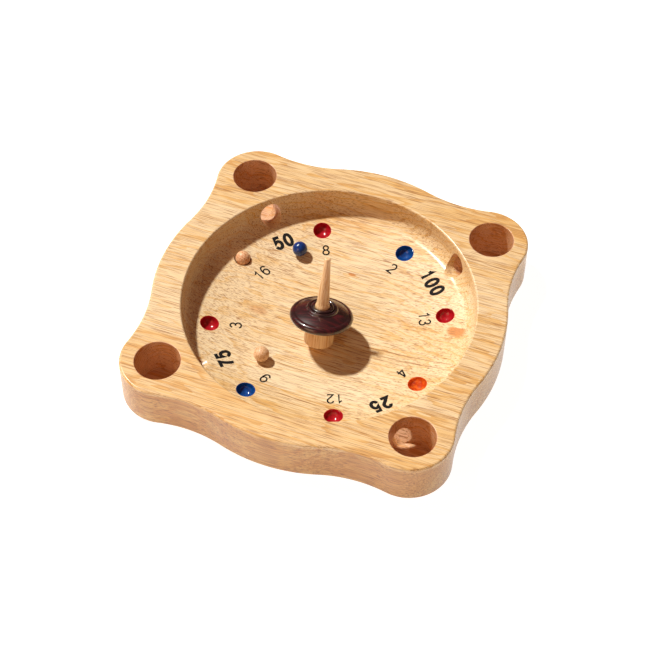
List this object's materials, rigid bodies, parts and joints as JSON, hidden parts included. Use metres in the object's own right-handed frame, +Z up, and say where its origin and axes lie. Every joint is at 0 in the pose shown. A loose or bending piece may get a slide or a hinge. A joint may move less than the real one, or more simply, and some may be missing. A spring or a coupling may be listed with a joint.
{
  "type": "game spinner",
  "caption": "Wavy-edged wooden tabletop roulette: a dished basin with painted scoring dimples, sloping tunnels to corner pots, a wooden spinning top and small loose wooden balls.",
  "frame": {"origin": "centre of the board's underside", "axes": "+Z up out of the basin; +X along the wood grain, towards the side between the pots of the 25 and 100 tunnels; +Y towards the side between the pots of the 100 and 50 tunnels"},
  "size_m": [0.275, 0.275, 0.0838],
  "materials": {
    "board_wood": "satin varnish on pale edge-glued rubberwood, grain along X",
    "spindle_wood": "fine-sanded turned hardwood, grain along the spindle",
    "dark_stain": "turned wood under dark mahogany stain and gloss varnish",
    "blue_paint": "turned wooden ball under gloss blue paint",
    "ball_wood": "turned natural wooden ball, satin"
  },
  "bodies": {
    "board": {"board_stave_1": "board_wood", "board_stave_2": "board_wood", "board_stave_3": "board_wood", "board_stave_4": "board_wood", "board_stave_5": "board_wood", "board_stave_6": "board_wood", "board_stave_7": "board_wood"},
    "spinner": {"spinner_spindle": "spindle_wood", "spinner_disc": "dark_stain"},
    "ball_blue": {"ball_blue": "blue_paint"},
    "ball_natural": {"ball_natural": "ball_wood"},
    "ball_in_dimple": {"ball_in_dimple": "ball_wood"}
  },
  "joints": [
    {"name": "spinner_spin", "type": "hinge", "parent": "board", "child": "spinner", "pos_m": [-0.0003, -0.0243, 0.0066], "axis": [-0.0176, 0.3152, 0.9489], "continuous": true},
    {"name": "ball_blue_lift", "type": "slide", "parent": "board", "child": "ball_blue", "axis": [0, 0, 1], "range_m": [0, 0.05]},
    {"name": "ball_natural_lift", "type": "slide", "parent": "board", "child": "ball_natural", "axis": [0, 0, 1], "range_m": [0, 0.05]},
    {"name": "ball_in_dimple_lift", "type": "slide", "parent": "board", "child": "ball_in_dimple", "axis": [0, 0, 1], "range_m": [0, 0.05]}
  ]
}
